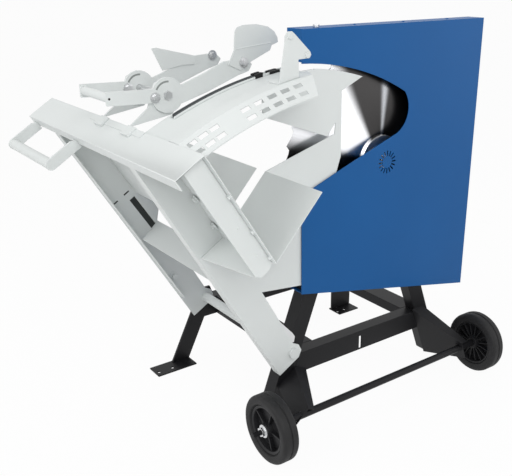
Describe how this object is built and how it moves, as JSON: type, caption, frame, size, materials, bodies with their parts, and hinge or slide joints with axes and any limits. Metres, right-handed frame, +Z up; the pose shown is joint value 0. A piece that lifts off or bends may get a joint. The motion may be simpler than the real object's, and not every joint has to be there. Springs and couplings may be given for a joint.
{
  "type": "firewood circular saw",
  "caption": "Circular saw for firewood: a tilting cradle carries the log past a large blade inside a sheet-metal cover, on a wheeled stand.",
  "frame": {"origin": "middle of the saw's footprint on the floor", "axes": "+X feed direction from the operator toward the blade, +Y along the blade shaft from the cover to the motor, +Z up"},
  "size_m": [1.2748, 0.878, 1.1388],
  "materials": {
    "blue_coat": "smooth blue powder coat, semi-gloss",
    "white_coat": "light grey-white powder coat, semi-gloss",
    "black_coat": "black powder coat, satin",
    "blade_steel": "ground tool steel with radial sheen",
    "zinc_steel": "zinc plated steel",
    "tyre_rubber": "matt black solid rubber",
    "black_plastic": "moulded black plastic",
    "motor_cast": "grey painted casting",
    "green_plastic": "green moulded plastic",
    "red_plastic": "red moulded plastic"
  },
  "bodies": {
    "frame": {"leg_front_left": "black_coat", "leg_front_right": "black_coat", "front_beam": "black_coat", "rear_beam": "black_coat", "left_rail": "black_coat", "right_rail": "black_coat", "rear_leg_left": "black_coat", "rear_leg_right": "black_coat", "foot_plate_left": "black_coat", "foot_plate_right": "black_coat", "wheel_bracket_left": "black_coat", "wheel_bracket_right": "black_coat", "axle": "black_coat", "axle_nut_left": "zinc_steel", "axle_nut_right": "zinc_steel", "side_cover": "blue_coat", "cover_bolt": "zinc_steel", "housing_back": "blue_coat", "motor_shell": "motor_cast", "motor_end_shield": "motor_cast", "bearing_front": "zinc_steel", "bearing_rear": "zinc_steel", "stator": "motor_cast", "motor_fan_cover": "black_plastic", "switch_box": "black_plastic", "power_inlet": "black_plastic"},
    "cradle": {"trough": "white_coat", "near_side_plate": "white_coat", "far_arm": "white_coat", "end_angle": "white_coat", "overhang_shelf": "white_coat", "cross_plate": "white_coat", "pivot_tube": "white_coat", "pivot_bolt": "white_coat", "handle_arm_near": "white_coat", "handle_arm_far": "white_coat", "handle_bar": "white_coat", "guard_roof": "white_coat", "stand_bracket": "white_coat", "clamp_bracket_near": "white_coat", "clamp_bracket_far": "white_coat"},
    "clamp": {"clamp_arm_near": "white_coat", "clamp_arm_far": "white_coat", "clamp_pin": "zinc_steel", "clamp_grip_bar": "white_coat", "claw_near": "white_coat", "claw_far": "white_coat"},
    "spindle": {"blade": "blade_steel", "inner_flange": "zinc_steel", "outer_flange": "zinc_steel", "arbor_nut": "zinc_steel", "arbor_shaft": "zinc_steel", "motor_fan": "black_plastic"},
    "wheel_left": {"tyre_left": "tyre_rubber", "rim_left": "black_plastic"},
    "wheel_right": {"tyre_right": "tyre_rubber", "rim_right": "black_plastic"},
    "start_button": {"start_button": "green_plastic"},
    "stop_button": {"stop_button": "red_plastic"}
  },
  "joints": [
    {"name": "cradle_swing", "type": "hinge", "parent": "frame", "child": "cradle", "pos_m": [-0.08521, 0.053, 0.22], "axis": [0, 1, 0], "range_deg": [0, 25]},
    {"name": "clamp_swing", "type": "hinge", "parent": "cradle", "child": "clamp", "pos_m": [-0.38421, -0.015, 0.985], "axis": [0, 1, 0], "range_deg": [-10, 15]},
    {"name": "blade_spin", "type": "hinge", "parent": "frame", "child": "spindle", "pos_m": [0.25778, -0.172, 0.743], "axis": [0, 1, 0], "continuous": true},
    {"name": "wheel_left_spin", "type": "hinge", "parent": "frame", "child": "wheel_left", "pos_m": [-0.25722, -0.333, 0.1], "axis": [1, 0, 0], "continuous": true},
    {"name": "wheel_right_spin", "type": "hinge", "parent": "frame", "child": "wheel_right", "pos_m": [0.58679, -0.333, 0.1], "axis": [1, 0, 0], "continuous": true},
    {"name": "start_press", "type": "slide", "parent": "frame", "child": "start_button", "axis": [0, -1, 0], "range_m": [0, 0.004]},
    {"name": "stop_press", "type": "slide", "parent": "frame", "child": "stop_button", "axis": [0, -1, 0], "range_m": [0, 0.004]}
  ]
}
